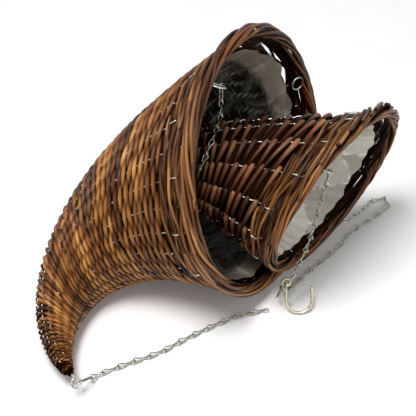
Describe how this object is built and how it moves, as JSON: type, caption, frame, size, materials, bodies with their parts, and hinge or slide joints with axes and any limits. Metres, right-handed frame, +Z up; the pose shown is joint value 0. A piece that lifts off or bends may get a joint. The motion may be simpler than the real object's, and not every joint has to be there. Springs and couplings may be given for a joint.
{
  "type": "nested pair of cornucopia baskets",
  "caption": "Horn-shaped woven hanging basket holding a smaller one in its mouth, with wire stakes, twisted rims, film liners, tail rings, jack chains and a hook.",
  "frame": {"origin": "bottom centre of the bounding box of both baskets as they lie, without the chains", "axes": "+Z up, +X to the right of the picture, where the mouths open, -Y towards the viewer"},
  "size_m": [0.4722, 0.4028, 0.3292],
  "materials": {
    "border_willow": "satin bark-on willow rods, dark brown",
    "film": "translucent crinkled polythene film",
    "hook": "plated steel wire",
    "willow": "satin bark-on willow rods, brown",
    "wire": "galvanised wire"
  },
  "bodies": {
    "large_basket": {"large_border": "border_willow", "large_collar": "willow", "large_liner": "film", "large_near_chain": "wire", "large_near_clip": "wire", "large_stake_01": "wire", "large_stake_02": "wire", "large_stake_03": "wire", "large_stake_04": "wire", "large_stake_05": "wire", "large_stake_06": "wire", "large_stake_07": "wire", "large_stake_08": "wire", "large_stake_09": "wire", "large_stake_10": "wire", "large_stake_11": "wire", "large_stake_12": "wire", "large_stake_13": "wire", "large_stake_14": "wire", "large_tail_chain": "wire", "large_tail_clip": "wire", "large_tail_eye": "wire", "large_woven_horn": "willow"},
    "small_basket": {"small_border": "border_willow", "small_collar": "willow", "small_far_chain": "wire", "small_liner": "film", "small_near_chain": "wire", "small_stake_01": "wire", "small_stake_02": "wire", "small_stake_03": "wire", "small_stake_04": "wire", "small_stake_05": "wire", "small_stake_06": "wire", "small_stake_07": "wire", "small_stake_08": "wire", "small_stake_09": "wire", "small_stake_10": "wire", "small_stake_11": "wire", "small_stake_12": "wire", "small_stake_13": "wire", "small_stake_14": "wire", "small_tail_eye": "wire", "small_woven_horn": "willow", "gather_ring": "wire"},
    "hanging_hook": {"hook": "hook"},
    "large_tail_ring_body": {"large_tail_ring": "wire"},
    "large_near_ring_body": {"large_near_ring": "wire"},
    "large_far_ring_body": {"large_far_ring": "wire"},
    "small_tail_ring_body": {"small_tail_ring": "wire"},
    "small_near_ring_body": {"small_near_ring": "wire"},
    "small_far_ring_body": {"small_far_ring": "wire"}
  },
  "joints": [
    {"name": "small_basket_lift", "type": "slide", "parent": "large_basket", "child": "small_basket", "axis": [0.9565, 0.2563, 0.1392], "range_m": [0, 0.16]},
    {"name": "hook_swing", "type": "hinge", "parent": "small_basket", "child": "hanging_hook", "pos_m": [0.0842, -0.04246, 0.02934], "axis": [0, -0.7071, 0.7071], "range_deg": [0, 85]},
    {"name": "large_tail_ring_turn", "type": "hinge", "parent": "large_basket", "child": "large_tail_ring_body", "pos_m": [-0.17398, -0.19553, 0.02213], "axis": [0.4142, -0.6016, 0.683], "continuous": true},
    {"name": "large_near_ring_turn", "type": "hinge", "parent": "large_basket", "child": "large_near_ring_body", "pos_m": [-0.00574, 0.02229, 0.30273], "axis": [0.2847, 0.4996, 0.8181], "continuous": true},
    {"name": "large_far_ring_turn", "type": "hinge", "parent": "large_basket", "child": "large_far_ring_body", "pos_m": [0.10345, 0.18053, 0.17718], "axis": [-0.5903, 0.8033, -0.0791], "continuous": true},
    {"name": "small_tail_ring_turn", "type": "hinge", "parent": "small_basket", "child": "small_tail_ring_body", "pos_m": [-0.10563, -0.02939, 0.15071], "axis": [0.0147, 0.9802, 0.1975], "continuous": true},
    {"name": "small_near_ring_turn", "type": "hinge", "parent": "small_basket", "child": "small_near_ring_body", "pos_m": [0.12314, -0.03295, 0.21972], "axis": [0.3462, 0.4912, 0.7993], "continuous": true},
    {"name": "small_far_ring_turn", "type": "hinge", "parent": "small_basket", "child": "small_far_ring_body", "pos_m": [0.16696, 0.08438, 0.0132], "axis": [0.1458, 0.5928, 0.792], "continuous": true}
  ]
}
